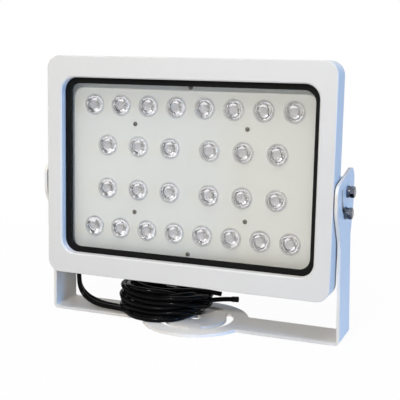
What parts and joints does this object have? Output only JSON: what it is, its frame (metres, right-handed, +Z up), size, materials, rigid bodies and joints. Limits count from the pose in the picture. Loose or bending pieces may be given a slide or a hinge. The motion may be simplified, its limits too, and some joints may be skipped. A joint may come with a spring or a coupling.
{
  "type": "security strobe light",
  "caption": "Rectangular security strobe lamp with rows of clear lenses behind glass, tilting on a U-bracket with a slotted round base and two loose leads.",
  "frame": {"origin": "centre of the base's bolt hole, on the underside of the bracket", "axes": "+Z up, +X to the right seen from the front, +Y from the glass towards the cooling fins"},
  "size_m": [0.323, 0.11, 0.2698],
  "materials": {
    "bare_aluminium": "satin",
    "black_plastic": "satin",
    "black_rubber": "matte",
    "capacitor_can": "satin",
    "clear_glass": "gloss",
    "clear_lens": "gloss",
    "emitter": "gloss",
    "green_board": "satin",
    "green_plastic": "satin",
    "grey_rubber": "matte",
    "lead_jacket": "satin",
    "shrink_sleeve": "satin",
    "steel_bolt": "satin",
    "steel_screw": "satin",
    "white_board": "satin",
    "white_casting": "satin",
    "white_sheet": "matte",
    "white_steel": "satin",
    "winding": "matte",
    "zinc_steel": "satin"
  },
  "bodies": {
    "bracket": {"u_bracket": "white_steel", "lead_coil": "lead_jacket", "power_lead_run": "lead_jacket", "sync_lead_run": "lead_jacket", "power_lead_tail": "lead_jacket", "sync_lead_tail": "lead_jacket", "lead_sleeve": "shrink_sleeve"},
    "head": {"bezel": "white_casting", "glass_gasket": "black_rubber", "front_glass": "clear_glass", "glass_retainer": "zinc_steel", "led_plate": "white_sheet", "plate_screws": "steel_screw", "led_board": "white_board", "led_emitters": "emitter", "heat_spreader": "bare_aluminium", "inner_screws": "steel_screw", "rear_housing": "white_casting", "housing_seal": "grey_rubber", "bezel_screws": "steel_screw", "driver_board": "green_board", "storage_capacitors": "capacitor_can", "power_transformer": "winding", "terminal_block": "green_plastic", "gland_body": "black_plastic", "gland_seal": "black_rubber", "gland_nut": "black_plastic", "pivot_bolts": "steel_bolt", "lock_bolts": "steel_bolt", "flat_washers": "steel_bolt", "spring_washers": "steel_bolt", "lens_01": "clear_lens", "lens_02": "clear_lens", "lens_03": "clear_lens", "lens_04": "clear_lens", "lens_05": "clear_lens", "lens_06": "clear_lens", "lens_07": "clear_lens", "lens_08": "clear_lens", "lens_09": "clear_lens", "lens_10": "clear_lens", "lens_11": "clear_lens", "lens_12": "clear_lens", "lens_13": "clear_lens", "lens_14": "clear_lens", "lens_15": "clear_lens", "lens_16": "clear_lens", "lens_17": "clear_lens", "lens_18": "clear_lens", "lens_19": "clear_lens", "lens_20": "clear_lens", "lens_21": "clear_lens", "lens_22": "clear_lens", "lens_23": "clear_lens", "lens_24": "clear_lens", "lens_25": "clear_lens", "lens_26": "clear_lens", "lens_27": "clear_lens", "lens_28": "clear_lens"}
  },
  "joints": [
    {"name": "head_tilt", "type": "hinge", "parent": "bracket", "child": "head", "pos_m": [0, 0, 0.1465], "axis": [-1, 0, 0], "range_deg": [-8, 75], "deforming": ["power_lead_run", "sync_lead_run"]}
  ]
}
